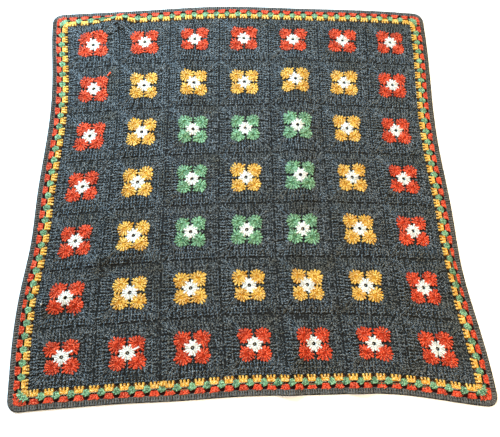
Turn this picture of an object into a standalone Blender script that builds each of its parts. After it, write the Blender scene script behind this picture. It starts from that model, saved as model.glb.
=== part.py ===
"""Granny square blanket, laid out on a flat surface.

Forty-nine crocheted flower squares are joined seven by seven, and four rounds are worked round
them: yellow groups of stitches, green clusters, red groups, and a ribbed grey edging. Every piece
is a thin closed solid. It is drawn flat first, in the blanket's own coordinates (u to the right,
v away from the viewer, zero at the middle of the centre square), and then takes the shape in
which the blanket lies: pulled out at its corners, drawn in at its sides, with soft folds.
"""
import math

import bmesh
import bpy
from mathutils import Vector

# Driving dimensions, in metres
PITCH = 0.125             # one flower square, seam to seam
COUNT = 7                 # squares along each side
THICK = 0.0040            # crochet in worsted yarn
SEAM_DIP = 0.0010         # a square is this much thinner at its seams
HOLE = 0.0064             # hole in the middle of each flower
GAP = 0.0003              # between neighbouring pieces
HALF = COUNT * PITCH / 2  # from the middle to the edge of the joined squares
CELL = PITCH / 4          # the laid shape is read on a grid of this pitch

# The border rounds, as distances out from the joined squares
YELLOW_IN = 0.0005        # yellow groups begin
YELLOW_OUT = 0.0108       # yellow groups end, slots begin
CHAIN_IN = 0.0151         # slots end at the green chain
RED_IN = 0.0180           # red groups begin
EDGING_IN = 0.0255        # ribbed edging begins
BORDER = 0.0370           # outer edge of the edging
CORNER_ROUND = 0.024      # radius of the edging's corners

# The repeat along the border
GROUPS = 31                                # groups of stitches on each side
REPEAT = COUNT * PITCH / GROUPS            # one group and one gap
GROUP_GAP = 0.0046                         # width of the gap between yellow groups
GROUP_GAP_DEPTH = 0.0066                   # how far out that gap reaches
CLUSTER_FOOT = 0.0140                      # width of a green cluster at the chain
CLUSTER_TIP = 0.0090                       # and at its inner end
CLUSTER_REACH = 0.0095                     # distance out of a cluster's inner end
CORNER_CLUSTER = 0.0045                    # a corner cluster stands this far past the last square
ROUND_THICK = {"yellow": 0.0038, "green": 0.0044, "red": 0.0040, "edging": 0.0044}

# How the blanket is pulled as it lies. Each pull fades over its reach.
ROW_BOW = 0.008           # the rows bow away from the viewer by about this much
PULLS = (
    # place, at u, at v, reach, push in u, push in v
    ("left waist",        -0.42,  0.20, 0.20,  0.013, -0.001),
    ("right waist",        0.43,  0.10, 0.20, -0.014,  0.000),
    ("right side, near",   0.48, -0.20, 0.12, -0.010,  0.000),
    ("left side sags",    -0.43, -0.08, 0.20,  0.000, -0.005),
    ("left side, near",   -0.48, -0.12, 0.09,  0.006,  0.000),
    ("near left flare",   -0.44, -0.32, 0.18, -0.010,  0.000),
    ("near left corner",  -0.46, -0.46, 0.15,  0.002,  0.014),
    ("near left edge",    -0.27, -0.50, 0.11,  0.000,  0.007),
    ("near right corner",  0.47, -0.47, 0.17,  0.015, -0.012),
    ("near right edge",    0.28, -0.47, 0.14,  0.000,  0.012),
    ("far right corner",   0.32,  0.46, 0.20,  0.012,  0.005),
    ("far left corner",   -0.46,  0.46, 0.16, -0.013,  0.003),
    ("near edge middle",  -0.02, -0.45, 0.19,  0.011,  0.010),
    ("far edge middle",   -0.06,  0.47, 0.19,  0.004,  0.011),
    ("raised column",      0.14,  0.20, 0.12,  0.001,  0.004),
    ("sixth row",          0.05, -0.25, 0.25, -0.006,  0.000),
)

# The soft folds that stand up from the surface. Between them the blanket lies flat.
FOLDS = (
    # place, from u, from v, to u, to v, height, half width
    ("fifth column",            0.124,  0.300,  0.130, -0.050, 0.012, 0.056),
    ("right side, upper part",  0.190, -0.060,  0.270, -0.160, 0.008, 0.048),
    ("right side, lower part",  0.270, -0.160,  0.318, -0.260, 0.009, 0.046),
    ("right side, foot",        0.318, -0.260,  0.296, -0.425, 0.008, 0.044),
    ("pucker by fifth row",    -0.325, -0.178, -0.246, -0.152, 0.009, 0.034),
    ("pucker at left edge",    -0.420, -0.258, -0.370, -0.250, 0.008, 0.034),
    ("over the far border",    -0.365,  0.412, -0.305,  0.440, 0.013, 0.036),
    ("along the sixth seam",    0.062, -0.293,  0.165, -0.288, 0.006, 0.034),
    ("by the right border",     0.422, -0.176,  0.424, -0.250, 0.006, 0.036),
    ("near edge, middle",       0.092, -0.346,  0.066, -0.474, 0.009, 0.036),
    ("near edge, right",        0.204, -0.392,  0.212, -0.474, 0.006, 0.034),
    ("second column",          -0.282,  0.330, -0.281,  0.090, 0.005, 0.046),
    ("third column",           -0.150,  0.335, -0.150,  0.125, 0.007, 0.044),
    ("left side, long",        -0.300, -0.070, -0.312, -0.150, 0.005, 0.040),
    ("near left, long",        -0.158, -0.275, -0.160, -0.425, 0.004, 0.040),
    ("below the middle",        0.096, -0.180,  0.093, -0.290, 0.005, 0.036),
)

# Yarn colours of the flowers, from the outer ring of squares to the centre one
RING_YARNS = ("red", "yellow", "green", "yellow")
YARN_COLOURS = {
    "grey": (0.105, 0.125, 0.145),
    "red": (0.650, 0.060, 0.030),
    "yellow": (0.780, 0.440, 0.095),
    "green": (0.250, 0.460, 0.260),
    "edging": (0.120, 0.110, 0.105),
}


def fold_height(u, v):
    """How far the folds lift the point (u, v) off the surface. Where two meet, the higher leads."""
    cubes = 0.0
    for _, u0, v0, u1, v1, top, half_width in FOLDS:
        along_u, along_v = u1 - u0, v1 - v0
        share = ((u - u0) * along_u + (v - v0) * along_v) / (along_u ** 2 + along_v ** 2)
        share = min(1.0, max(0.0, share))
        away = math.hypot(u - u0 - share * along_u, v - v0 - share * along_v)
        if away < half_width:
            cubes += (top * math.cos(math.pi / 2 * away / half_width) ** 2) ** 3
    return cubes ** (1 / 3)


def lay(u, v):
    """Where the flat blanket's point (u, v) comes to lie."""
    x = u
    y = v + ROW_BOW * (0.6 - 2 * (u / HALF) ** 2)
    for _, at_u, at_v, reach, push_u, push_v in PULLS:
        strength = math.exp(-((u - at_u) ** 2 + (v - at_v) ** 2) / reach ** 2)
        x += push_u * strength
        y += push_v * strength
    return Vector((x, y, fold_height(u, v)))


def lay_in_cell(u, v):
    """The same, read between the corners of a grid, so that neighbouring pieces stay parallel."""
    column, row = math.floor(u / CELL), math.floor(v / CELL)
    right, far = u / CELL - column, v / CELL - row
    near_edge = lay(column * CELL, row * CELL).lerp(lay((column + 1) * CELL, row * CELL), right)
    far_edge = lay(column * CELL, (row + 1) * CELL).lerp(
        lay((column + 1) * CELL, (row + 1) * CELL), right)
    return near_edge.lerp(far_edge, far)


def yarn_material(name):
    """Matt wool yarn in one colour."""
    material = bpy.data.materials.new(name + " yarn")
    material.use_nodes = True
    shader = material.node_tree.nodes["Principled BSDF"]
    shader.inputs["Base Color"].default_value = (*YARN_COLOURS[name], 1.0)
    shader.inputs["Roughness"].default_value = 0.9
    shader.inputs["Metallic"].default_value = 0.0
    material.diffuse_color = (*YARN_COLOURS[name], 1.0)
    return material


def make_piece(name, bm, thickness_at, materials, collection):
    """Lays a flat sheet of faces out, thickens it upwards and makes it an object."""
    flat = {vertex: vertex.co.copy() for vertex in bm.verts}
    raised = bmesh.ops.extrude_face_region(bm, geom=bm.faces[:])["geom"]
    tops = {item for item in raised if isinstance(item, bmesh.types.BMVert)}
    for vertex in bm.verts:
        place = flat.get(vertex, vertex.co)
        u, v = place.x, place.y
        vertex.co = lay_in_cell(u, v)
        if vertex in tops:
            vertex.co.z += thickness_at(u, v)
    bmesh.ops.triangulate(bm, faces=bm.faces[:])
    bmesh.ops.recalc_face_normals(bm, faces=bm.faces[:])
    mesh = bpy.data.meshes.new(name)
    bm.to_mesh(mesh)
    bm.free()
    for material in materials:
        mesh.materials.append(material)
    piece = bpy.data.objects.new(name, mesh)
    collection.objects.link(piece)
    return piece


def make_square(row, column, yarns, collection):
    """One flower square: grey rounds, and a flower with a hole in its middle."""
    middle = Vector((column - COUNT // 2, COUNT // 2 - row, 0.0)) * PITCH
    bm = bmesh.new()
    bmesh.ops.create_grid(bm, x_segments=4, y_segments=4, size=(PITCH - GAP) / 2)
    for face in bm.faces:
        centre = face.calc_center_median()
        face.material_index = int(max(abs(centre.x), abs(centre.y)) < CELL)
    hub = min(bm.verts, key=lambda vertex: vertex.co.length)
    cut = bmesh.ops.bevel(bm, geom=[hub], offset=HOLE / 2, affect="VERTICES", segments=1)
    rim = cut["faces"][0].edges[:]
    bmesh.ops.delete(bm, geom=cut["faces"], context="FACES_ONLY")
    bmesh.ops.subdivide_edges(bm, edges=rim, cuts=1)
    for vertex in bm.verts:
        if vertex.co.length < HOLE:
            vertex.co *= HOLE / 2 / vertex.co.length
    bmesh.ops.translate(bm, verts=bm.verts[:], vec=middle)

    def thickness_at(u, v):
        from_seam = PITCH / 2 - max(abs(u - middle.x), abs(v - middle.y))
        return THICK if from_seam > CELL / 2 else THICK - SEAM_DIP

    ring = min(row, column, COUNT - 1 - row, COUNT - 1 - column)
    materials = (yarns["grey"], yarns[RING_YARNS[ring]])
    return make_piece(f"square_r{row + 1}_c{column + 1}", bm, thickness_at, materials, collection)


def on_side(side, along, out):
    """The flat point this far along one of the four sides, and this far out from the squares."""
    turn = side * math.pi / 2
    u, v = along, -(HALF + out)
    return Vector((u * math.cos(turn) - v * math.sin(turn),
                   u * math.sin(turn) + v * math.cos(turn), 0.0))


def make_round(name, inner_of_repeat, inner_of_corner, outer_of_repeat, outer_of_corner,
               material, thickness, collection):
    """A closed round of the border. Its cells are cut apart at the first point of each repeat."""
    cells = []
    for side in range(4):
        for gap in range(GROUPS - 1):
            at = (gap - GROUPS / 2 + 1) * REPEAT
            cells.append(([on_side(side, at + along, out) for along, out in inner_of_repeat],
                          [on_side(side, at + along, out) for along, out in outer_of_repeat]))
        cells.append(([on_side(side, HALF + past, out) for past, out in inner_of_corner],
                      [on_side(side, HALF + past, out) for past, out in outer_of_corner]))
    bm = bmesh.new()
    inner = [[bm.verts.new(point) for point in cell[0]] for cell in cells]
    outer = [[bm.verts.new(point) for point in cell[1]] for cell in cells]
    for here in range(len(cells)):
        after = (here + 1) % len(cells)
        bm.faces.new(outer[here] + [outer[after][0], inner[after][0]] + inner[here][::-1])
    return make_piece(name, bm, lambda u, v: thickness, (material,), collection)


def corner_path(out, start):
    """A sharp corner at one distance out, from a point this far past the last square."""
    return [(start, out), (out, out), (out, start)]


def make_yellow_round(material, collection):
    """Groups of three stitches, with an open gap between one group and the next."""
    gap, tip = GROUP_GAP / 2, CLUSTER_TIP / 2
    notch = CLUSTER_REACH - GAP
    inner_of_repeat = [(-0.8 * gap, GROUP_GAP_DEPTH), (0.8 * gap, GROUP_GAP_DEPTH),
                       (gap, YELLOW_IN), (REPEAT - gap, YELLOW_IN)]
    outer_of_repeat = [(-tip - 0.0004, notch), (tip + 0.0004, notch),
                       (tip + 0.0011, YELLOW_OUT), (REPEAT - tip - 0.0011, YELLOW_OUT)]
    inner_of_corner = [(YELLOW_IN, YELLOW_IN), (YELLOW_IN, gap - REPEAT)]
    outer_of_corner = [(YELLOW_OUT - 0.0060, YELLOW_OUT), (YELLOW_OUT - 0.0020, YELLOW_OUT - 0.0020),
                       (YELLOW_OUT, YELLOW_OUT - 0.0060), (YELLOW_OUT, tip + 0.0011 - REPEAT)]
    return make_round("border_yellow", inner_of_repeat, inner_of_corner, outer_of_repeat,
                      outer_of_corner, material, ROUND_THICK["yellow"], collection)


def make_green_round(material, collection):
    """A narrow chain that carries one cluster over each gap between groups."""
    foot, tip = CLUSTER_FOOT / 2, CLUSTER_TIP / 2
    chain_out = RED_IN - GAP
    inner_of_repeat = [(-foot, CHAIN_IN), (-tip, CLUSTER_REACH), (tip, CLUSTER_REACH),
                       (foot, CHAIN_IN)]
    outer_of_repeat = [(0.0, chain_out)]
    at, short_reach = CORNER_CLUSTER, YELLOW_OUT + GAP
    cluster = [(at - foot, CHAIN_IN), (at - tip, short_reach), (at + tip, short_reach),
               (at + tip + 0.0010, CHAIN_IN)]
    inner_of_corner = cluster + [(CHAIN_IN, CHAIN_IN)] + [(out, past) for past, out in cluster[::-1]]
    outer_of_corner = corner_path(chain_out, at - foot)
    return make_round("border_green", inner_of_repeat, inner_of_corner, outer_of_repeat,
                      outer_of_corner, material, ROUND_THICK["green"], collection)


def make_red_round(material, collection):
    """Groups of three stitches again, close together."""
    red_out = EDGING_IN - GAP
    inner_of_corner = corner_path(RED_IN, CORNER_CLUSTER - CLUSTER_FOOT / 2)
    outer_of_corner = corner_path(red_out, CORNER_CLUSTER)
    return make_round("border_red", [(0.0, RED_IN)], inner_of_corner, [(0.0, red_out)],
                      outer_of_corner, material, ROUND_THICK["red"], collection)


def make_edging(material, collection):
    """The ribbed edging, with rounded corners."""
    centre = BORDER - CORNER_ROUND
    arc = [(centre + CORNER_ROUND * math.sin(step * math.pi / 8),
            centre + CORNER_ROUND * math.cos(step * math.pi / 8)) for step in range(5)]
    inner_of_corner = corner_path(EDGING_IN, CORNER_CLUSTER)
    return make_round("border_edging", [(0.0, EDGING_IN)], inner_of_corner, [(0.0, BORDER)], arc,
                      material, ROUND_THICK["edging"], collection)


def centre_on_origin(pieces):
    """Moves the blanket so that the middle of its outline is over the origin."""
    corners = [vertex.co for piece in pieces for vertex in piece.data.vertices]
    middle = Vector((min(c.x for c in corners) + max(c.x for c in corners),
                     min(c.y for c in corners) + max(c.y for c in corners), 0.0)) / 2
    for piece in pieces:
        for vertex in piece.data.vertices:
            vertex.co -= middle


for old in list(bpy.data.objects):
    bpy.data.objects.remove(old)

blanket = bpy.data.collections.new("granny square blanket")
bpy.context.scene.collection.children.link(blanket)
yarns = {name: yarn_material(name) for name in YARN_COLOURS}
pieces = [make_square(row, column, yarns, blanket)
          for row in range(COUNT) for column in range(COUNT)]
pieces.append(make_yellow_round(yarns["yellow"], blanket))
pieces.append(make_green_round(yarns["green"], blanket))
pieces.append(make_red_round(yarns["red"], blanket))
pieces.append(make_edging(yarns["edging"], blanket))
centre_on_origin(pieces)
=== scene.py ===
import math

import bmesh
import bpy
import numpy as np
from mathutils import Matrix, Vector


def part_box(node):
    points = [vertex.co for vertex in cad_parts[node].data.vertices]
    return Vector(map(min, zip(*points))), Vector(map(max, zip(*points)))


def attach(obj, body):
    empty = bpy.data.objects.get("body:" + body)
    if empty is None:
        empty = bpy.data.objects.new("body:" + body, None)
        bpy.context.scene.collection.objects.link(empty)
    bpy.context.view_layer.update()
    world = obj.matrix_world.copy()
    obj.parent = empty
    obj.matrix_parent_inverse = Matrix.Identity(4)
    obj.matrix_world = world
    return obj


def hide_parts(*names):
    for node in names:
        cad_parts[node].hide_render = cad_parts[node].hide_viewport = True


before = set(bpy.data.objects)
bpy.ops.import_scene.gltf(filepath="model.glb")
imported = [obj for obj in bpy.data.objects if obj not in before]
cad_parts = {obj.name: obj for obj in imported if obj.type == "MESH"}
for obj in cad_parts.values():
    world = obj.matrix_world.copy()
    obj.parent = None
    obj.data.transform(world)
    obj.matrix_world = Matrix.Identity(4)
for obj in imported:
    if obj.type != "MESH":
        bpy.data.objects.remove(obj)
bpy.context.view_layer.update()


# The room: a pale floor, one large soft lamp from the upper left, a weak warm one from the right, a
# weaker one from the viewer's side, and a camera close above the near edge that looks steeply down,
# turned a little to the left.
FLOOR_SIZE = 6.0
CAMERA_TARGET = Vector((0.0020, -0.0906, 0.0))
CAMERA_DISTANCE = 0.895
CAMERA_ELEVATION = math.radians(73.5)
CAMERA_AZIMUTH = math.radians(-7.6)
CAMERA_ROLL = math.radians(6.0)
CAMERA_LENS = 28.8        # millimetres


def add_node(tree, kind, inputs=None, **settings):
    """Adds a node with its settings, and sets or links its inputs."""
    made = tree.nodes.new(kind)
    for name, value in settings.items():
        setattr(made, name, value)
    for name, value in (inputs or {}).items():
        if isinstance(value, bpy.types.NodeSocket):
            tree.links.new(value, made.inputs[name])
        else:
            made.inputs[name].default_value = value
    return made


def mix_colours(tree, share, first, second, how="MIX"):
    """The socket of a mix of two colours, each of them a socket or three numbers."""
    first, second = (value if isinstance(value, bpy.types.NodeSocket) else (*value, 1)
                     for value in (first, second))
    mixed = add_node(tree, "ShaderNodeMix", {0: share, 6: first, 7: second}, data_type="RGBA",
                     blend_type=how)
    return mixed.outputs[2]


def new_material(name, roughness, specular):
    """A material with only its shader, whose constant values are set on the sockets."""
    material = bpy.data.materials.new(name)
    material.use_nodes = True
    shader = material.node_tree.nodes["Principled BSDF"]
    shader.inputs["Roughness"].default_value = roughness
    shader.inputs["Specular IOR Level"].default_value = specular
    return material, material.node_tree, shader


def object_from(name, vertices, faces, edges=()):
    """A mesh object, linked to the scene."""
    mesh = bpy.data.meshes.new(name)
    mesh.from_pydata(vertices, edges, faces)
    made = bpy.data.objects.new(name, mesh)
    bpy.context.scene.collection.objects.link(made)
    return made


half_floor = FLOOR_SIZE / 2
floor = object_from("floor", [(-half_floor, -half_floor, 0), (half_floor, -half_floor, 0),
                              (half_floor, half_floor, 0), (-half_floor, half_floor, 0)], [(0, 1, 2, 3)])
floor_paint, tree, shader = new_material("pale floor", roughness=0.9, specular=0.1)
grain = add_node(tree, "ShaderNodeTexNoise", {"Scale": 3.0, "Detail": 2.0}).outputs["Fac"]
tint = mix_colours(tree, grain, (0.95, 0.95, 0.95), (0.97, 0.97, 0.97))
tree.links.new(tint, shader.inputs["Base Color"])
floor.data.materials.append(floor_paint)


def soft_lamp(name, place, size, power, colour):
    """A square soft box that points at the middle of the blanket."""
    light = bpy.data.lights.new(name, "AREA")
    light.size = size
    light.energy = power
    light.color = colour
    lamp = bpy.data.objects.new(name, light)
    lamp.location = place
    lamp.rotation_euler = Vector(place).to_track_quat("Z", "Y").to_euler()
    bpy.context.scene.collection.objects.link(lamp)


soft_lamp("key lamp", (-0.88, 1.00, 1.00), size=0.8, power=84, colour=(0.60, 0.82, 1.0))
soft_lamp("warm lamp", (1.05, 0.05, 1.3), size=0.9, power=27, colour=(1.0, 0.77, 0.45))
soft_lamp("fill lamp", (0.15, -1.20, 0.80), size=0.9, power=12, colour=(1.0, 0.88, 0.74))
world = bpy.data.worlds.new("soft room")
world.use_nodes = True
world.node_tree.nodes["Background"].inputs["Color"].default_value = (1.0, 0.98, 0.95, 1)
world.node_tree.nodes["Background"].inputs["Strength"].default_value = 0.10
bpy.context.scene.world = world
bpy.context.scene.view_settings.view_transform = "Standard"

back = Vector((math.sin(CAMERA_AZIMUTH) * math.cos(CAMERA_ELEVATION),
               -math.cos(CAMERA_AZIMUTH) * math.cos(CAMERA_ELEVATION), math.sin(CAMERA_ELEVATION)))
right = Vector((0, 0, 1)).cross(back).normalized()
turn = Matrix.Rotation(CAMERA_ROLL, 3, back)
axes = Matrix((turn @ right, turn @ back.cross(right), back)).transposed()
camera = bpy.data.objects.new("camera", bpy.data.cameras.new("camera"))
camera.data.lens = CAMERA_LENS
camera.matrix_world = Matrix.Translation(CAMERA_TARGET + back * CAMERA_DISTANCE) @ axes.to_4x4()
bpy.context.scene.collection.objects.link(camera)
bpy.context.scene.camera = camera


# The ground of the squares: a layer of yarn under the stitches of both faces, painted near-black as the shade
# between them.
# It is one thin sheet under all 49 squares, with a hole in the middle of each flower. It has the
# shape in which the blanket lies, pulled out at its corners and lifted by soft folds.
PITCH = 0.125             # one flower square, seam to seam
COUNT = 7                 # squares along each side
HALF = COUNT * PITCH / 2  # from the middle to the edge of the joined squares
GROUND_LOW, GROUND_HIGH = 0.0010, 0.0017
FLOOR_GAP = 0.0002        # the yarn is pressed flat on the floor, and never below it
HUB_HOLE = 0.0017         # radius of the hole in the middle of each flower

ROW_BOW = 0.008           # the rows bow away from the viewer by about this much
PULLS = (
    # place, at u, at v, reach, push in u, push in v
    ("left waist",        -0.42,  0.20, 0.20,  0.013, -0.001),
    ("right waist",        0.43,  0.10, 0.20, -0.014,  0.000),
    ("right side, near",   0.48, -0.20, 0.12, -0.010,  0.000),
    ("left side sags",    -0.43, -0.08, 0.20,  0.000, -0.005),
    ("left side, near",   -0.48, -0.12, 0.09,  0.006,  0.000),
    ("near left flare",   -0.44, -0.32, 0.18, -0.010,  0.000),
    ("near left corner",  -0.46, -0.46, 0.15,  0.002,  0.014),
    ("near left edge",    -0.27, -0.50, 0.11,  0.000,  0.007),
    ("near right corner",  0.47, -0.47, 0.17,  0.015, -0.012),
    ("near right edge",    0.28, -0.47, 0.14,  0.000,  0.012),
    ("far right corner",   0.32,  0.46, 0.20,  0.012,  0.005),
    ("far left corner",   -0.46,  0.46, 0.16, -0.013,  0.003),
    ("near edge middle",  -0.02, -0.45, 0.19,  0.011,  0.010),
    ("far edge middle",   -0.06,  0.47, 0.19,  0.004,  0.011),
    ("raised column",      0.14,  0.20, 0.12,  0.001,  0.004),
    ("sixth row",          0.05, -0.25, 0.25, -0.006,  0.000),
)
FOLDS = (
    # place, from u, from v, to u, to v, height, half width
    ("fifth column",            0.124,  0.300,  0.130, -0.050, 0.012, 0.056),
    ("right side, upper part",  0.190, -0.060,  0.270, -0.160, 0.008, 0.048),
    ("right side, lower part",  0.270, -0.160,  0.318, -0.260, 0.009, 0.046),
    ("right side, foot",        0.318, -0.260,  0.296, -0.425, 0.008, 0.044),
    ("pucker by fifth row",    -0.325, -0.178, -0.246, -0.152, 0.009, 0.034),
    ("pucker at left edge",    -0.420, -0.258, -0.370, -0.250, 0.008, 0.034),
    ("over the far border",    -0.365,  0.412, -0.305,  0.440, 0.013, 0.036),
    ("along the sixth seam",    0.062, -0.293,  0.165, -0.288, 0.006, 0.034),
    ("by the right border",     0.422, -0.176,  0.424, -0.250, 0.006, 0.036),
    ("near edge, middle",       0.092, -0.346,  0.066, -0.474, 0.009, 0.036),
    ("near edge, right",        0.204, -0.392,  0.212, -0.474, 0.006, 0.034),
    ("second column",          -0.282,  0.330, -0.281,  0.090, 0.005, 0.046),
    ("third column",           -0.150,  0.335, -0.150,  0.125, 0.007, 0.044),
    ("left side, long",        -0.300, -0.070, -0.312, -0.150, 0.005, 0.040),
    ("near left, long",        -0.158, -0.275, -0.160, -0.425, 0.004, 0.040),
    ("below the middle",        0.096, -0.180,  0.093, -0.290, 0.005, 0.036),
)


def lay(u, v, height):
    """Where the flat blanket's points come to lie, before the blanket is centred."""
    x = u.copy()
    y = v + ROW_BOW * (0.6 - 2 * (u / HALF) ** 2)
    for _, at_u, at_v, reach, push_u, push_v in PULLS:
        strength = np.exp(-((u - at_u) ** 2 + (v - at_v) ** 2) / reach ** 2)
        x += push_u * strength
        y += push_v * strength
    # Where folds meet, the higher one leads: their cubes are added.
    cubes = np.zeros_like(u)
    for _, u0, v0, u1, v1, top, half_width in FOLDS:
        along_u, along_v = u1 - u0, v1 - v0
        share = ((u - u0) * along_u + (v - v0) * along_v) / (along_u ** 2 + along_v ** 2)
        share = np.clip(share, 0.0, 1.0)
        away = np.hypot(u - u0 - share * along_u, v - v0 - share * along_v)
        near = away < half_width
        cubes[near] += (top * np.cos(math.pi / 2 * away[near] / half_width) ** 2) ** 3
    return np.stack([x, y, height + np.cbrt(cubes)], axis=1)


# The CAD model is centred on the origin, and its centre square says by how much it moved.
grid = np.linspace(-2, 2, 5) * PITCH / 4
grid_u, grid_v = np.meshgrid(grid, grid)
centre_square = lay(grid_u.ravel(), grid_v.ravel(), np.zeros(grid_u.size))
low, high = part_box("square_r4_c4")
CENTRE = (centre_square.min(axis=0) + centre_square.max(axis=0) - np.array(low) - np.array(high)) / 2
CENTRE[2] = 0.0


def lay_mesh(mesh):
    """Moves a flat mesh, drawn in u and v with its height in z, to the shape of the blanket."""
    flat = np.empty(len(mesh.vertices) * 3)
    mesh.vertices.foreach_get("co", flat)
    flat = flat.reshape(-1, 3)
    flat[:, 2] = np.maximum(flat[:, 2], FLOOR_GAP)
    laid = lay(flat[:, 0], flat[:, 1], flat[:, 2]) - CENTRE
    mesh.vertices.foreach_set("co", laid.ravel())
    mesh.update()


def square_middles():
    """The row, column and middle of each square. Row 0 is the far one and column 0 the left one."""
    for row in range(COUNT):
        for column in range(COUNT):
            yield row, column, (column - COUNT // 2) * PITCH, (COUNT // 2 - row) * PITCH


STEPS = 8                 # cells of the ground along each side of a square
GROUND_PAST = 0.0028      # how far the ground runs on under the border's first stitches
HUB_CELLS = (STEPS // 2 - 1, STEPS // 2)
HUB_PATH = [(-1, -1), (0, -1), (1, -1), (1, 0), (1, 1), (0, 1), (-1, 1), (-1, 0)]
last = COUNT * STEPS
side_points = last + 1
layer_points = side_points ** 2
ground_points, ground_faces = [], []
for layer, height in enumerate((GROUND_LOW, GROUND_HIGH)):
    for j in range(side_points):
        for i in range(side_points):
            u, v = (k * PITCH / STEPS - HALF + GROUND_PAST * ((k == last) - (k == 0)) for k in (i, j))
            ground_points.append((u, v, height))
    for j in range(last):
        for i in range(last):
            if i % STEPS in HUB_CELLS and j % STEPS in HUB_CELLS:
                continue
            corner = layer * layer_points + j * side_points + i
            cell = (corner, corner + 1, corner + 1 + side_points, corner + side_points)
            ground_faces.append(cell if layer else cell[::-1])
rim = ([(i, 0) for i in range(last)] + [(last, j) for j in range(last)]
       + [(i, last) for i in range(last, 0, -1)] + [(0, j) for j in range(last, 0, -1)])
for (i, j), (next_i, next_j) in zip(rim, rim[1:] + rim[:1]):
    here, after = j * side_points + i, next_j * side_points + next_i
    ground_faces.append((here, after, after + layer_points, here + layer_points))
for row, column, middle_u, middle_v in square_middles():
    rings = []
    i, j = column * STEPS + STEPS // 2, (COUNT - 1 - row) * STEPS + STEPS // 2
    for layer, height in enumerate((GROUND_LOW, GROUND_HIGH)):
        outer = [layer * layer_points + (j + dj) * side_points + i + di for di, dj in HUB_PATH]
        inner = []
        for di, dj in HUB_PATH:
            inner.append(len(ground_points))
            reach = HUB_HOLE / math.hypot(di, dj)
            ground_points.append((middle_u + di * reach, middle_v + dj * reach, height))
        for k in range(len(HUB_PATH)):
            after = (k + 1) % len(HUB_PATH)
            cell = (outer[k], outer[after], inner[after], inner[k])
            ground_faces.append(cell if layer else cell[::-1])
        rings.append(inner)
    for k in range(len(HUB_PATH)):
        after = (k + 1) % len(HUB_PATH)
        ground_faces.append((rings[0][k], rings[1][k], rings[1][after], rings[0][after]))
ground = object_from("yarn_ground", ground_points, ground_faces)
lay_mesh(ground.data)


def noise(tree, place, scale, detail):
    """The socket of a noise over the coordinates of a socket."""
    made = add_node(tree, "ShaderNodeTexNoise", {"Vector": place, "Scale": scale, "Detail": detail})
    return made.outputs["Fac"]


def shade(name, dark, light):
    """Yarn coloured dark as painted shade, for the layers under the stitches, with dark clumps."""
    material, tree, shader = new_material(name, roughness=0.95, specular=0.1)
    place = add_node(tree, "ShaderNodeTexCoord").outputs["Object"]
    clumps = noise(tree, place, 260.0, 3.0)
    tree.links.new(mix_colours(tree, clumps, dark, light), shader.inputs["Base Color"])
    fuzz = add_node(tree, "ShaderNodeBump", {"Height": clumps, "Strength": 0.6, "Distance": 0.0005})
    tree.links.new(fuzz.outputs["Normal"], shader.inputs["Normal"])
    return material


# Painted shade: the ground is near-black, far darker than the grey yarn.
shade_yarn = shade("grey yarn in shade", (0.004, 0.004, 0.004), (0.018, 0.019, 0.018))
ground.data.materials.append(shade_yarn)
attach(ground, "root")


# The flower squares: each is crocheted in the round, from a white ring through four petals to two
# grey rounds, and joined to the next ones by yarn across the seams. A stitch is a post of two
# twisted strands, and a grey one also has a chain across its top and a wrap across its post.
STITCH_HEIGHT = 0.0135    # of a double crochet


def math_of(tree, operation, *values):
    """The socket of a sum, product or other result of these values."""
    return add_node(tree, "ShaderNodeMath", dict(enumerate(values)), operation=operation).outputs[0]


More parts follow.
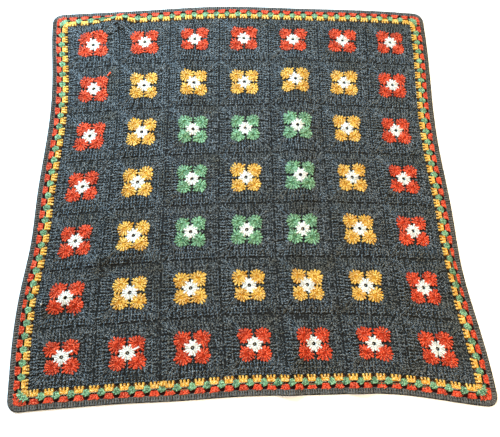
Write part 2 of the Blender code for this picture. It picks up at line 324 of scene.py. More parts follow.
def crochet_stitch_tree():
    """One kind of stitch, set on every point of that kind: a twisted post, a chain and a wrap."""
    tree = bpy.data.node_groups.new("crochet stitch", "GeometryNodeTree")
    face = tree.interface
    face.new_socket("Points", in_out="INPUT", socket_type="NodeSocketGeometry")
    for label, kind, value in (
            ("Kind", "Int", 0), ("Yarn Radius", "Float", 0.00125), ("Height", "Float", STITCH_HEIGHT),
            ("Foot Swing", "Float", 0.0013), ("Swing", "Float", 0.0017), ("Turns", "Float", 0.75),
            ("Flatness", "Float", 0.55), ("Lift", "Float", 0.0021), ("Depth", "Float", 1.0),
            ("Tip", "Float", 1.0), ("Chain Width", "Float", 0.007), ("Chain Lift", "Float", 0.0032),
            ("With Chain", "Bool", True), ("Wrap Width", "Float", 0.0024), ("With Wrap", "Bool", False),
            ("Sides", "Int", 3), ("Wander", "Float", 0.08), ("Drift", "Float", 0.0004), ("Seed", "Int", 0)):
        face.new_socket(label, in_out="INPUT", socket_type="NodeSocket" + kind).default_value = value
    face.new_socket("Yarn", in_out="INPUT", socket_type="NodeSocketMaterial")
    face.new_socket("Stitches", in_out="OUTPUT", socket_type="NodeSocketGeometry")
    given = tree.nodes.new("NodeGroupInput").outputs
    tall, lift, radius = given["Height"], given["Lift"], given["Yarn Radius"]

    def add(kind, inputs=None, **settings):
        return add_node(tree, kind, inputs, **settings)

    def times(value, share):
        return math_of(tree, "MULTIPLY", value, share)

    def vector(x, y, z):
        return add("ShaderNodeCombineXYZ", {0: x, 1: y, 2: z}).outputs[0]

    # The post: two strands wound round each other, laid along y and flattened.
    spiral = add("GeometryNodeCurveSpiral", {
        "Resolution": 5, "Rotations": given["Turns"], "Start Radius": given["Foot Swing"],
        "End Radius": given["Swing"], "Height": tall}).outputs[0]
    post = add("GeometryNodeJoinGeometry").inputs[0]
    first_phase = 0.35
    for phase in (first_phase, first_phase + math.pi):
        wound = add("GeometryNodeTransform", {"Geometry": spiral, "Rotation": (0, 0, phase)}).outputs[0]
        lying = add("GeometryNodeTransform", {"Geometry": wound, "Rotation": (-math.pi / 2, 0, 0)})
        flat = add("GeometryNodeTransform", {
            "Geometry": lying.outputs[0], "Scale": vector(1.0, 1.0, given["Flatness"]),
            "Translation": vector(0.0, 0.0, lift)}).outputs[0]
        tree.links.new(flat, post)

    def arc(wanted, start, bend, end):
        """A bent length of yarn, for the kinds of stitch that have it."""
        line = add("GeometryNodeCurveQuadraticBezier", {"Start": start, "Middle": bend, "End": end})
        line = add("GeometryNodeResampleCurve", {"Curve": line.outputs[0], "Count": 3}).outputs[0]
        return add("GeometryNodeSwitch", {0: given[wanted], 2: line}, input_type="GEOMETRY").outputs[0]

    # The chain across the top: one arm of it, on a slant from the stitch before to the one after.
    wide, high = given["Chain Width"], given["Chain Lift"]
    chain_foot = times(high, 0.6)
    chain = arc("With Chain",
                vector(times(wide, -0.55), math_of(tree, "SUBTRACT", tall, radius), chain_foot),
                vector(0.0, tall, times(high, 1.35)),
                vector(times(wide, 0.55), math_of(tree, "ADD", tall, radius), chain_foot))

    # The wrap: the yarn that crosses the post on a slant, near the middle of its height.
    wrap = arc("With Wrap",
               vector(times(given["Wrap Width"], -1.0), times(tall, 0.36), lift),
               vector(0.0, times(tall, 0.50), times(high, 1.5)),
               vector(given["Wrap Width"], times(tall, 0.62), lift))

    lines = add("GeometryNodeJoinGeometry").inputs[0]
    for part in (post.node.outputs[0], chain, wrap):
        tree.links.new(part, lines)

    # Yarn along the lines. Its own attributes say where on the yarn each point is, for the plies.
    parameter = add("GeometryNodeSplineParameter").outputs
    marked = add("GeometryNodeStoreNamedAttribute", {
        "Geometry": lines.node.outputs[0], "Name": "ply_along", "Value": parameter["Length"]},
        data_type="FLOAT").outputs[0]
    taper = add("ShaderNodeMix", {0: parameter["Factor"], 2: 1.0, 3: given["Tip"]}).outputs[0]
    marked = add("GeometryNodeSetCurveRadius", {"Curve": marked, "Radius": taper}).outputs[0]
    profile = add("GeometryNodeCurvePrimitiveCircle", {"Resolution": given["Sides"], "Radius": radius})
    place = add("GeometryNodeInputPosition").outputs[0]
    side_of = add("ShaderNodeVectorMath", {0: place}, operation="NORMALIZE").outputs[0]
    profile = add("GeometryNodeStoreNamedAttribute", {
        "Geometry": profile.outputs[0], "Name": "ply_side", "Value": side_of},
        data_type="FLOAT_VECTOR").outputs[0]
    stitch = add("GeometryNodeCurveToMesh", {
        "Curve": marked, "Profile Curve": profile, "Fill Caps": True}).outputs[0]
    stitch = add("GeometryNodeSetShadeSmooth", {"Geometry": stitch}).outputs[0]

    def seeded(more):
        return math_of(tree, "ADD", given["Seed"], more)

    def own(label, data_type):
        """A value that each point brings along."""
        return add("GeometryNodeInputNamedAttribute", {"Name": label}, data_type=data_type).outputs[0]

    def stray(most, more, reach):
        """A random vector for each point, up to this much either way."""
        unit = add("FunctionNodeRandomValue", {
            0: [-part for part in reach], 1: reach, "Seed": seeded(more)},
            data_type="FLOAT_VECTOR").outputs[0]
        return add("ShaderNodeVectorMath", {0: unit, 3: most}, operation="SCALE").outputs[0]

    # One on each point of this kind, turned and sized by the point, and wandering a little.
    chosen = add("FunctionNodeCompare", {2: own("kind", "INT"), 3: given["Kind"]}, data_type="INT",
                 operation="EQUAL").outputs[0]
    wander = stray(given["Wander"], 0, (0.15, 0.3, 1.0))
    turned_by = add("ShaderNodeVectorMath", {0: wander, 1: vector(0.0, 0.0, own("turn", "FLOAT"))},
                    operation="ADD").outputs[0]
    growth = add("FunctionNodeRandomValue", {
        0: (0.93, 0.94, 0.90), 1: (1.07, 1.06, 1.12), "Seed": seeded(77)},
        data_type="FLOAT_VECTOR").outputs[0]
    size = add("ShaderNodeVectorMath", {
        0: own("size", "FLOAT_VECTOR"), 1: vector(1.0, 1.0, given["Depth"])},
        operation="MULTIPLY").outputs[0]
    sized = add("ShaderNodeVectorMath", {0: size, 1: growth}, operation="MULTIPLY").outputs[0]
    moved = add("GeometryNodeSetPosition", {
        "Geometry": given["Points"], "Offset": stray(given["Drift"], 31, (1.0, 1.0, 0.5))}).outputs[0]
    placed = add("GeometryNodeInstanceOnPoints", {
        "Points": moved, "Selection": chosen, "Instance": stitch, "Rotation": turned_by,
        "Scale": sized}).outputs[0]
    tone = add("FunctionNodeRandomValue", {2: 0.0, 3: 1.0, "Seed": seeded(151)},
               data_type="FLOAT").outputs[1]
    toned = add("GeometryNodeStoreNamedAttribute", {"Geometry": placed, "Name": "tone", "Value": tone},
                data_type="FLOAT", domain="INSTANCE").outputs[0]
    real = add("GeometryNodeRealizeInstances", {"Geometry": toned}).outputs[0]
    dyed = add("GeometryNodeSetMaterial", {"Geometry": real, "Material": given["Yarn"]}).outputs[0]
    out = tree.nodes.new("NodeGroupOutput")
    tree.links.new(dyed, out.inputs[0])
    return tree


stitch_tree = crochet_stitch_tree()


def piece_tree(name, kinds):
    """A tree that sets several kinds of stitch on one set of points. kinds is [(kind, its own sizes)]."""
    tree = bpy.data.node_groups.new(name, "GeometryNodeTree")
    tree.interface.new_socket("Points", in_out="INPUT", socket_type="NodeSocketGeometry")
    tree.interface.new_socket("Seed", in_out="INPUT", socket_type="NodeSocketInt")
    for kind, _ in kinds:
        tree.interface.new_socket(f"Yarn {kind}", in_out="INPUT", socket_type="NodeSocketMaterial")
    tree.interface.new_socket("Piece", in_out="OUTPUT", socket_type="NodeSocketGeometry")
    given = tree.nodes.new("NodeGroupInput").outputs
    joined = tree.nodes.new("GeometryNodeJoinGeometry")
    for kind, sizes in kinds:
        group = tree.nodes.new("GeometryNodeGroup")
        group.node_tree = stitch_tree
        for label, value in sizes.items():
            group.inputs[label].default_value = value
        group.inputs["Kind"].default_value = kind
        tree.links.new(given["Points"], group.inputs["Points"])
        tree.links.new(math_of(tree, "ADD", given["Seed"], 1000 * kind), group.inputs["Seed"])
        tree.links.new(given[f"Yarn {kind}"], group.inputs["Yarn"])
        tree.links.new(group.outputs[0], joined.inputs[0])
    out = tree.nodes.new("NodeGroupOutput")
    tree.links.new(joined.outputs[0], out.inputs[0])
    return tree


def crochet(name, stitches, tree, seed, yarns):
    """A laid piece of crochet. Each stitch is (kind, foot u, foot v, top u, top v, width, lift)."""
    table = np.array(stitches)
    points = object_from(name + "_points", table[:, [1, 2, 6]], [])
    along = table[:, 3:5] - table[:, 1:3]
    lengths = np.hypot(along[:, 0], along[:, 1]) / STITCH_HEIGHT
    sizes = np.stack([table[:, 5], lengths, np.ones(len(table))], axis=1)
    for label, kind, field, values in (
            ("kind", "INT", "value", table[:, 0].astype(np.int32)),
            ("turn", "FLOAT", "value", np.arctan2(-along[:, 0], along[:, 1])),
            ("size", "FLOAT_VECTOR", "vector", sizes)):
        points.data.attributes.new(label, kind, "POINT").data.foreach_set(field, values.ravel())
    modifier = points.modifiers.new("crochet", "NODES")
    modifier.node_group = tree
    values = {"Seed": seed}
    values.update({f"Yarn {kind}": yarn for kind, yarn in yarns.items()})
    for socket in tree.interface.items_tree:
        if socket.in_out == "INPUT" and socket.name in values:
            modifier[socket.identifier] = values[socket.name]
    made = bpy.data.meshes.new_from_object(points.evaluated_get(bpy.context.evaluated_depsgraph_get()))
    bpy.data.objects.remove(points)
    made.name = name
    lay_mesh(made)
    piece = bpy.data.objects.new(name, made)
    bpy.context.scene.collection.objects.link(piece)
    return piece


def yarn(name, dark, light, fleck_and_highlight_colour, sheen=0.3, specular=0.25, bloom=(1.0, 1.0, 1.0), pinhole_shade=0.75,
         shade_patch=(1.0, 1.0, 1.0)):
    """Wool yarn with three plies and short fibres. Its colour varies between stitches. It has painted shade
    in the grooves of the plies and at dark pinholes, and light flecks on the plies' crests, partly lighter
    fibres and partly painted highlight.

    The bloom is the tint of its sheen, and the shade patch is painted shade: a darker tint over wide random
    areas.
    """
    material, tree, shader = new_material(name, roughness=0.88, specular=specular)
    shader.inputs["Sheen Roughness"].default_value = 0.6
    shader.inputs["Sheen Tint"].default_value = (*bloom, 1)
    plies, ply_turn = 3.0, 1700.0  # strands in the yarn, and how many radians they turn in a metre

    def attribute(label):
        return add_node(tree, "ShaderNodeAttribute", attribute_name=label).outputs

    def map_range(value, low, high, start=0.0, end=1.0):
        return add_node(tree, "ShaderNodeMapRange", {0: value, 1: low, 2: high, 3: start, 4: end}).outputs[0]

    place = add_node(tree, "ShaderNodeTexCoord").outputs["Object"]
    side = add_node(tree, "ShaderNodeSeparateXYZ", {0: attribute("ply_side")["Vector"]}).outputs
    round_it = math_of(tree, "MULTIPLY", math_of(tree, "ARCTAN2", side[1], side[0]), plies)
    advance = math_of(tree, "MULTIPLY_ADD", attribute("ply_along")["Fac"], ply_turn, round_it)
    twist = math_of(tree, "MULTIPLY_ADD", math_of(tree, "SINE", advance), 0.5, 0.5)
    fibres = noise(tree, place, 1500.0, 3.0)
    heather = noise(tree, place, 300.0, 2.0)
    grains = noise(tree, place, 430.0, 1.0)
    blend = math_of(tree, "MULTIPLY_ADD", heather, 2.4, attribute("tone")["Fac"])
    base = mix_colours(tree, map_range(blend, 1.15, 2.25), dark, light)
    # Partly painted highlight: the light flecks lie only on the crests of the plies.
    fleck_and_highlight = math_of(tree, "MULTIPLY", map_range(grains, 0.50, 0.66), twist)
    colour = mix_colours(tree, fleck_and_highlight, base, fleck_and_highlight_colour)
    # Painted shade: dark pinholes where the grain noise is low, and dark grooves between the plies.
    painted_pinholes = map_range(grains, 0.43, 0.51, start=pinhole_shade)
    groove_shade = math_of(tree, "MULTIPLY", map_range(twist, 0.0, 0.5, start=0.35), painted_pinholes)
    shaded = mix_colours(tree, 1.0, colour, groove_shade, "MULTIPLY")
    # Painted shade: a darker, olive tint over wide random patches.
    shade_patch_share = map_range(noise(tree, place, 13.0, 2.0), 0.50, 0.64)
    shade_patch_tint = mix_colours(tree, shade_patch_share, (1, 1, 1), shade_patch)
    shaded = mix_colours(tree, 1.0, shaded, shade_patch_tint, "MULTIPLY")
    tree.links.new(shaded, shader.inputs["Base Color"])
    tree.links.new(math_of(tree, "MULTIPLY", groove_shade, sheen), shader.inputs["Sheen Weight"])
    height = math_of(tree, "MULTIPLY_ADD", fibres, 0.25, twist)
    bump = add_node(tree, "ShaderNodeBump", {"Height": height, "Strength": 0.7, "Distance": 0.0004})
    tree.links.new(bump.outputs["Normal"], shader.inputs["Normal"])
    return material


# The grey yarn's pinholes are near-black painted shade, and its wide patches a darker olive painted shade.
grey_yarn = yarn("grey yarn", (0.006, 0.006, 0.005), (0.070, 0.074, 0.070), (0.310, 0.322, 0.318),
                 sheen=0.55, bloom=(0.62, 0.83, 1.0), pinhole_shade=0.05, shade_patch=(0.76, 0.66, 0.48))
white_yarn = yarn("white yarn", (0.62, 0.59, 0.50), (0.90, 0.89, 0.82), (1.0, 1.0, 0.96))
red_yarn = yarn("red yarn", (0.36, 0.014, 0.002), (0.98, 0.084, 0.020), (1.0, 0.30, 0.16),
                sheen=0.05, specular=0.12)
yellow_yarn = yarn("yellow yarn", (0.62, 0.24, 0.006), (1.0, 0.59, 0.085), (1.0, 0.88, 0.46),
                   sheen=0.05, specular=0.12)
green_yarn = yarn("green yarn", (0.040, 0.130, 0.048), (0.220, 0.480, 0.230), (0.54, 0.88, 0.56),
                  specular=0.15)
PETAL_YARNS = {"red": red_yarn, "yellow": yellow_yarn, "green": green_yarn}

OUTER, INNER, PETAL, RING, SEAM = 0, 1, 2, 3, 4
GREY_STITCH = {"Yarn Radius": 0.00128, "Turns": 1.05, "With Wrap": True, "Foot Swing": 0.0009,
               "Swing": 0.0012, "Wander": 0.15, "Drift": 0.0006}
square_tree = piece_tree("flower square", (
    (OUTER, {**GREY_STITCH, "Chain Width": 0.0062, "Chain Lift": 0.0027}),
    (INNER, {**GREY_STITCH, "Chain Width": 0.0066, "Chain Lift": 0.0030}),
    (PETAL, {"Yarn Radius": 0.0016, "Turns": 0.75, "Foot Swing": 0.0009, "Swing": 0.0014, "Lift": 0.0044,
             "Depth": 0.8, "With Chain": False, "Tip": 0.7, "Wander": 0.12, "Drift": 0.0005}),
    (RING, {"Sides": 4, "Yarn Radius": 0.0020, "Turns": 0.68, "With Chain": False, "Foot Swing": 0.0003,
            "Swing": 0.0008, "Lift": 0.0048, "Depth": 0.78, "Tip": 0.38, "Wander": 0.10}),
    (SEAM, {"Yarn Radius": 0.0012, "Turns": 0.45, "Foot Swing": 0.0004, "Swing": 0.0009, "Lift": 0.0029,
            "With Chain": False, "Wander": 0.6, "Drift": 0.0008}),
))


def turned(point, angle):
    """A point along and across a direction, turned to that direction."""
    return (point[0] * math.cos(angle) - point[1] * math.sin(angle),
            point[0] * math.sin(angle) + point[1] * math.cos(angle))


def rounded_square(angle):
    """How far out a rounded square reaches at this angle, where its sides are 1 from its middle."""
    return (math.cos(angle) ** 4 + math.sin(angle) ** 4) ** -0.25


def square_round(kind, count, foot_reach, top_reach, width, rounded=False):
    """A round of stitches on the four sides of a square. Their feet crowd together at the corners."""
    for side in range(4):
        for k in range(count):
            share = (2 * k + 1) / count - 1
            spread = share * top_reach / foot_reach
            spread /= (1 + abs(spread) ** 8) ** (1 / 8)
            foot_out = foot_reach
            if rounded:
                angle = math.atan(spread)
                foot_out *= math.cos(angle) * rounded_square(angle)
            foot = turned((spread * foot_out, -foot_out), side * math.pi / 2)
            top = turned((share * top_reach, -top_reach), side * math.pi / 2)
            yield (kind, *foot, *top, width * (1 - 0.3 * share ** 8), 0.0)


def radial(kind, angle, foot, top, width, lift):
    """One stitch that points away from the middle of the flower."""
    away = math.cos(angle), math.sin(angle)
    return kind, foot * away[0], foot * away[1], top * away[0], top * away[1], width, lift


GREY_ROUNDS = (
    # kind, stitches on a side, their feet and tops from the middle of the square, feet in an arc
    (OUTER, 18, 0.0462, 0.0591, False),
    (INNER, 14, 0.0318, 0.0476, True),
)
LOBE_MIDDLE = 0.0254      # of a petal, from the middle of the flower
LOBE_SIZE = 0.0152        # from the middle of a petal to its side
SPOKES = 16               # of the white ring
SEAM_STEP = 0.0230        # between two crossings of the yarn that joins the squares
SEAM_REACH = 0.0034       # of a crossing, to each side of the seam
SEAM_SLANT = 0.0012
hand = np.random.default_rng(11)
LOBES = hand.uniform(-1, 1, (COUNT, COUNT, 4, 3))         # how each petal strays: turn, distance, size
MORE_STITCHES = hand.integers(-1, 2, (COUNT, COUNT, 2))   # on a side of each grey round


def lobe_of(row, column, side):
    """The direction, middle and size of one petal. No two are quite alike."""
    turn_by, out_by, size_by = LOBES[row, column, side]
    return (math.pi / 4 + side * math.pi / 2 + math.radians(4) * turn_by, LOBE_MIDDLE + 0.0009 * out_by,
            1 + 0.06 * size_by)


def lobe_point(lobe, angle, reach):
    """A point of a petal, which is a rounded square. It is this far out from the petal's own middle,
    at this angle to the petal's axis."""
    direction, middle, size = lobe
    turn = angle + math.pi / 4
    reach *= size / (math.cos(turn) ** 4 + math.sin(turn) ** 4) ** 0.25
    return turned((middle + reach * math.cos(angle), reach * math.sin(angle)), direction)


def flower_square(row, column):
    """All stitches of one flower square."""
    for (kind, count, foot, top, rounded), more in zip(GREY_ROUNDS, MORE_STITCHES[row, column]):
        yield from square_round(kind, count + more, foot, top, count / (count + more), rounded)
    for side in range(4):
        # A stitch between two petals, and one at the corner of the square.
        yield radial(INNER, side * math.pi / 2, 0.0175, 0.0325, 0.7, -0.0006)
        yield radial(OUTER, math.pi / 4 + side * math.pi / 2, 0.0690, 0.0850, 0.8, -0.0004)
        # The petal: five stitches rise from the white ring, and thirteen spread from its own middle.
        lobe = lobe_of(row, column, side)
        for finger in range(-2, 3):
            foot = turned((0.0115, 0.0014 * finger), lobe[0])
            tip = turned((lobe[1] - 0.0012 * abs(finger), 0.0038 * finger), lobe[0])
            yield (PETAL, *foot, *tip, 0.9, 0.0)
        for finger in range(-6, 7):
            bend = math.radians(24.0 * finger)
            foot = lobe_point(lobe, bend, 0.0050)
            tip = lobe_point(lobe, bend, LOBE_SIZE - 0.0004 + 0.0011 * (finger % 3))
            yield (PETAL, *foot, *tip, 1.0, 0.0003 * (finger % 2))
    for spoke in range(SPOKES):
        angle = 2 * math.pi * (spoke + 0.5 * LOBES[row, column, 0, 0]) / SPOKES
        yield radial(RING, angle, 0.0046, 0.0140 + 0.0034 * (spoke % 2), 1.0, 0.0)
    # The joining yarn crosses the seams to the next square on the right and on the near side.
    for turn, has_next in ((0.0, column < COUNT - 1), (-math.pi / 2, row < COUNT - 1)):
        for k in range(-2, 3) if has_next else ():
            foot = turned((PITCH / 2 - SEAM_REACH, SEAM_STEP * k - SEAM_SLANT), turn)
            tip = turned((PITCH / 2 + SEAM_REACH, SEAM_STEP * k + SEAM_SLANT), turn)
            yield (SEAM, *foot, *tip, 1.0, 0.0)


# Ends of yarn that were left on the face: row, column, yarn, and where each starts and stops in its square.
LOOSE_ENDS = (
    (6, 0, RING, 0.0130, 0.0075, 0.0215, 0.0125),
    (6, 1, RING, 0.0135, 0.0060, 0.0225, 0.0120),
    (1, 0, PETAL, 0.0330, 0.0335, 0.0425, 0.0425),
    (5, 0, PETAL, 0.0200, -0.0360, 0.0225, -0.0385),
    (5, 0, RING, -0.0440, -0.0080, -0.0465, -0.0100),
)
END_WIDTH, END_LIFT = 0.8, 0.0024


def petal_colour(row, column):
    """The rings of squares are red, yellow and green, from outside, and the centre square is yellow."""
    return ("red", "yellow", "green", "yellow")[min(row, column, COUNT - 1 - row, COUNT - 1 - column)]


for row, column, middle_u, middle_v in square_middles():
    stitches = list(flower_square(row, column))
    stitches += [(*end, END_WIDTH, END_LIFT) for at_row, at_column, *end in LOOSE_ENDS
                 if (at_row, at_column) == (row, column)]
    in_place = np.array(stitches) + (0.0, middle_u, middle_v, middle_u, middle_v, 0.0, 0.0)
    piece = crochet(f"yarn_square_r{row + 1}_c{column + 1}", in_place, square_tree, row * COUNT + column + 1,
                    {OUTER: grey_yarn, INNER: grey_yarn, PETAL: PETAL_YARNS[petal_colour(row, column)],
                     RING: white_yarn, SEAM: grey_yarn})
    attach(piece, "root")
    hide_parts(f"square_r{row + 1}_c{column + 1}")


# The pads of the flowers: the closed inner layer of the petals and of the white ring, under their
# stitches. The coloured ones are darker copies of their petals' yarn, painted shade under the stitches.
# The white ones keep the hole in the middle of the flower open.
def add_pad(points, faces, rings, low, high, hole):
    """A low closed pad. Its rings of points run from the rim inwards, to a hole or to a flat middle."""
    count, start = len(rings[0]), len(points)
    for height in (low, high):
        for ring in rings:
            points.extend((u, v, height) for u, v in ring)
    layer = len(rings) * count
    inner = start + layer - count
    for k in range(count):
        after = (k + 1) % count
        for ring in range(start, inner, count):
            faces.append((ring + k, ring + count + k, ring + count + after, ring + after))
            faces.append((ring + layer + k, ring + layer + after, ring + layer + count + after,
                          ring + layer + count + k))
        faces.append((start + k, start + after, start + layer + after, start + layer + k))
        if hole:
            faces.append((inner + k, inner + layer + k, inner + layer + after, inner + after))
    if not hole:
        faces.append(tuple(inner + layer + k for k in range(count)))
        faces.append(tuple(inner + k for k in reversed(range(count))))


PAD_LOW, LOBE_HIGH, DISC_HIGH = 0.0018, 0.0027, 0.0036
LOBE_POINTS, LOBE_REACHES = 12, (0.0132, 0.0066, 0.0013)
DISC_POINTS, DISC_REACHES = 14, (0.0118, 0.0041)
# Painted shade: the coloured pads are darker copies of their petals' yarn.
pads = {"red": ([], [], shade("red petal in shade", (0.17, 0.008, 0.002), (0.48, 0.040, 0.012))),
        "yellow": ([], [], shade("yellow petal in shade", (0.30, 0.115, 0.004), (0.62, 0.31, 0.040))),
        "green": ([], [], shade("green petal in shade", (0.022, 0.070, 0.028), (0.105, 0.235, 0.110))),
        "white": ([], [], white_yarn)}
for row, column, middle_u, middle_v in square_middles():
    for side in range(4):
        lobe = lobe_of(row, column, side)
        rings = [[(middle_u + u, middle_v + v) for u, v in (
            lobe_point(lobe, 2 * math.pi * k / LOBE_POINTS, reach) for k in range(LOBE_POINTS))]
            for reach in LOBE_REACHES]
        add_pad(*pads[petal_colour(row, column)][:2], rings, PAD_LOW, LOBE_HIGH, hole=False)
    turns = [2 * math.pi * k / DISC_POINTS for k in range(DISC_POINTS)]
    rings = [[(middle_u + reach * math.cos(turn), middle_v + reach * math.sin(turn)) for turn in turns]
             for reach in DISC_REACHES]
    add_pad(*pads["white"][:2], rings, PAD_LOW, DISC_HIGH, hole=True)
for colour, (points, faces, yarn_used) in pads.items():
    piece = object_from(f"yarn_pads_{colour}", points, faces)
    lay_mesh(piece.data)
    piece.data.materials.append(yarn_used)
    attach(piece, "root")


# The border: yellow groups worked into the squares' edge, green clusters over the gaps between
# them, red groups over the green chain, and a ribbed grey edging with rounded corners.
GROUPS = 31               # groups of stitches on each side
REPEAT = COUNT * PITCH / GROUPS
RIBS = 176                # of the edging, on each side
CORNER_RIBS = 7
CORNER_MIDDLE = 0.013     # of the edging's rounded corner, out from the squares' corner
KNOT_ALONG = -0.181       # from the middle of the near side
GROUP, CLUSTER, RIB, TOOTH = 0, 1, 2, 3
edging_yarn = yarn("edging yarn", (0.030, 0.028, 0.024), (0.126, 0.116, 0.102), (0.250, 0.233, 0.205))
border_tree = piece_tree("border round", (
    (GROUP, {"Sides": 4, "Yarn Radius": 0.0017, "Turns": 0.85, "Foot Swing": 0.0005, "Swing": 0.0020,
             "Chain Width": 0.0064, "Lift": 0.0032, "Chain Lift": 0.0044}),
    (CLUSTER, {"Sides": 4, "Yarn Radius": 0.0015, "Turns": 0.65, "Foot Swing": 0.0009, "Swing": 0.0016,
               "Chain Width": 0.0050, "Lift": 0.0036, "Chain Lift": 0.0050}),
    (RIB, {"Sides": 4, "Yarn Radius": 0.0014, "Foot Swing": 0.0012, "Swing": 0.0011, "With Chain": False,
           "Turns": 0.65, "Flatness": 0.9, "Wander": 0.05, "Lift": 0.0028}),
    (TOOTH, {"Sides": 4, "Yarn Radius": 0.0019, "Turns": 0.45, "Foot Swing": 0.0004, "Swing": 0.0012,
             "With Chain": False, "Lift": 0.0042}),
))


def on_side(side, along, out):
    """The flat point this far along one of the four sides, and this far out from the squares."""
    return turned((along, -(HALF + out)), side * math.pi / 2)


def stitch_out(kind, side, foot, top, width, lift=0.0):
    """A stitch of the border. Its ends are given as along the side, and out from the squares."""
    return (kind, *on_side(side, *foot), *on_side(side, *top), width, lift)


yellow, green, red, edging = [], [], [], []
for side in range(4):
    for group in range(GROUPS):
        middle = (group - GROUPS // 2) * REPEAT
        for k in (-1, 0, 1):
            yellow.append(stitch_out(TOOTH, side, (middle + k * 0.0072, -0.0022),
                                     (middle + k * 0.0056, 0.0098), 1.0))
            red.append(stitch_out(GROUP, side, (middle + k * 0.0052, 0.0158),
                                  (middle + k * 0.0062, 0.0242), 1.0))
    for gap in range(GROUPS + 1):
        middle = (gap - GROUPS / 2) * REPEAT
        if gap in (0, GROUPS):
            middle = math.copysign(HALF + 0.0045, middle)
        for k in (-1, 0, 1):
            green.append(stitch_out(CLUSTER, side, (middle + k * 0.0028, 0.0044 + 0.0016 * abs(k)),
                                    (middle + k * 0.0052, 0.0168 - 0.0024 * abs(k)), 1.1, 0.0006))
    # Round the corner: the stitches of each round fan out from it, at these angles in degrees.
    for angle, foot, top in ((-18, 0.0030, 0.0092), (9, 0.0010, 0.0082), (36, 0.0006, 0.0068),
                             (63, 0.0006, 0.0068), (90, 0.0008, 0.0082)):
        lean = math.radians(angle)
        yellow.append(stitch_out(
            GROUP, side, (HALF + foot * math.sin(lean) - 0.002, foot * math.cos(lean) - 0.002),
            (HALF + top * math.sin(lean), top * math.cos(lean)), 1.0))
    for angle in (10, 27, 45, 63, 80):
        lean = math.radians(angle)
        widening = rounded_square(lean)
        foot, top = ((HALF + out * widening * math.sin(lean), out * widening * math.cos(lean))
                     for out in (0.0150, 0.0240))
        red.append(stitch_out(GROUP, side, foot, top, 1.1))
# A knot lies on the yellow round near the viewer, where its yarn was joined.
for foot, top in (((-0.0055, -0.0010), (0.0035, 0.0060)), ((0.0050, -0.0012), (-0.0040, 0.0058)),
                  ((-0.0012, -0.0026), (0.0014, 0.0066)), ((-0.0068, 0.0034), (0.0064, 0.0022))):
    yellow.append(stitch_out(TOOTH, 0, (KNOT_ALONG + foot[0], foot[1]), (KNOT_ALONG + top[0], top[1]),
                             1.3, 0.0022))
for side in range(4):
    for k in range(RIBS):
        along = ((k + 0.5) / RIBS - 0.5) * 2 * (HALF + CORNER_MIDDLE)
        edging.append(stitch_out(RIB, side, (along, 0.0250), (along, 0.0350), 1.0))
    for k in range(CORNER_RIBS):
        angle = (k + 0.5) / CORNER_RIBS * math.pi / 2
        foot, top = ((HALF + CORNER_MIDDLE + reach * math.sin(angle), CORNER_MIDDLE + reach * math.cos(angle))
                     for reach in (0.0120, 0.0220))
        edging.append(stitch_out(RIB, side, foot, top, 1.0))


def thin_copy(node, share):
    """The ground of a round: a merged copy of its CAD mesh, brought down to a share of its height."""
    def spot(vertex):
        return round(vertex.co.x, 5), round(vertex.co.y, 5)

    shape = bmesh.new()
    shape.from_mesh(bpy.data.objects[node].data)
    bmesh.ops.remove_doubles(shape, verts=shape.verts, dist=0.00002)
    lowest = {}
    for vertex in shape.verts:
        lowest[spot(vertex)] = min(lowest.get(spot(vertex), vertex.co.z), vertex.co.z)
    for vertex in shape.verts:
        floor_there = lowest[spot(vertex)]
        vertex.co.z = max(floor_there + share * (vertex.co.z - floor_there), FLOOR_GAP)
    made = bpy.data.meshes.new(node.replace("border", "ground"))
    shape.to_mesh(made)
    shape.free()
    copy = bpy.data.objects.new(made.name, made)
    bpy.context.scene.collection.objects.link(copy)
    return copy


def square_path(out, corner_round=0.0):
    """A closed path round the blanket, this far out from the squares.

    Its corners are rounded where a radius is given.
    """
    reach, path = HALF + out, []
    centre = reach - corner_round
    steps = 4 * GROUPS
    for side in range(4):
        for k in range(steps):
            across, away = (2 * k / steps - 1) * reach, reach
            past = math.hypot(abs(across) - centre, away - centre)
            if abs(across) > centre and past > corner_round > 0:
                away = centre + (away - centre) * corner_round / past
                across = math.copysign(centre + (abs(across) - centre) * corner_round / past, across)
            path.append(turned((across, -away), side * math.pi / 2))
    return path


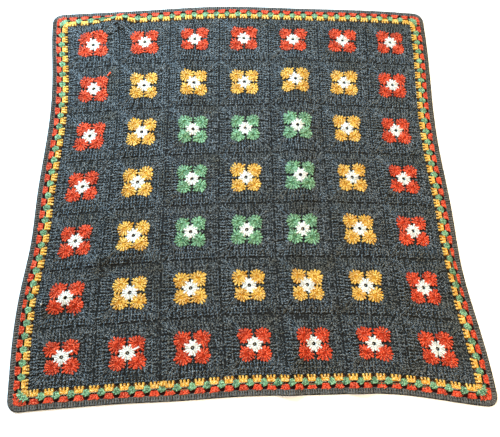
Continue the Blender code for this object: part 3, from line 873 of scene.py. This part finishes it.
# The solid bodies of the yellow and red groups, where their stitches close up.
BODIES = (
    # name, outline of a group's body and of a corner's one as (along, out), height, yarn
    ("yellow", ((-0.0080, 0.0034), (0.0080, 0.0034), (0.0076, 0.0106), (-0.0076, 0.0106)), (),
     0.0050, yellow_yarn),
    ("red", ((-0.0070, 0.0150), (0.0070, 0.0150), (0.0084, 0.0240), (-0.0084, 0.0240)),
     ((0.0110, 0.0186), (0.0182, 0.0182), (0.0186, 0.0110), (0.0244, 0.0110), (0.0236, 0.0236),
      (0.0110, 0.0244)), 0.0040, red_yarn),
)
for name, outline, corner_outline, height, yarn_used in BODIES:
    points, faces = [], []
    for side in range(4):
        for group in range(GROUPS):
            middle = (group - GROUPS // 2) * REPEAT
            ring = [on_side(side, middle + along, out) for along, out in reversed(outline)]
            add_pad(points, faces, [ring], PAD_LOW, height, hole=False)
        if corner_outline:
            ring = [on_side(side, HALF + along, out) for along, out in reversed(corner_outline)]
            add_pad(points, faces, [ring], PAD_LOW, height, hole=False)
    piece = object_from(f"yarn_bodies_{name}", points, faces)
    lay_mesh(piece.data)
    piece.data.materials.append(yarn_used)
    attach(piece, "root")

# Painted shade: dark yarn at the foot of each round. The red one also reaches into the slot between the
# yellow and red rounds, as a dark ledge.
grounds = []
for name, dark, light in (("yellow", (0.028, 0.010, 0.003), (0.11, 0.045, 0.008)),
                          ("green", (0.018, 0.045, 0.022), (0.06, 0.13, 0.07))):
    grounds.append((thin_copy(f"border_{name}", 0.85), name, dark, light))
for name, rings, top, dark, light in (
        ("red", (square_path(0.0251), square_path(0.0130)), 0.0020, (0.006, 0.002, 0.002),
         (0.022, 0.004, 0.003)),
        ("edging", (square_path(0.0370, 0.0240), square_path(0.0255)), 0.0022, (0.008, 0.008, 0.006),
         (0.030, 0.029, 0.021))):
    points, faces = [], []
    add_pad(points, faces, rings, FLOOR_GAP, top, hole=True)
    piece = object_from(f"ground_{name}", points, faces)
    lay_mesh(piece.data)
    grounds.append((piece, name, dark, light))
# All these grounds are coloured with painted shade.
for piece, name, dark, light in grounds:
    piece.data.materials.append(shade(f"{name} yarn in shade", dark, light))
    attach(piece, "root")

# The stitches of each round.
for name, stitches, yarn_used, node in (("yellow", yellow, yellow_yarn, "border_yellow"),
                                        ("green", green, green_yarn, "border_green"),
                                        ("red", red, red_yarn, "border_red"),
                                        ("edging", edging, edging_yarn, "border_edging")):
    piece = crochet(f"yarn_border_{name}", stitches, border_tree, 500 + len(stitches),
                    {kind: yarn_used for kind in (GROUP, CLUSTER, RIB, TOOTH)})
    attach(piece, "root")
    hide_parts(node)
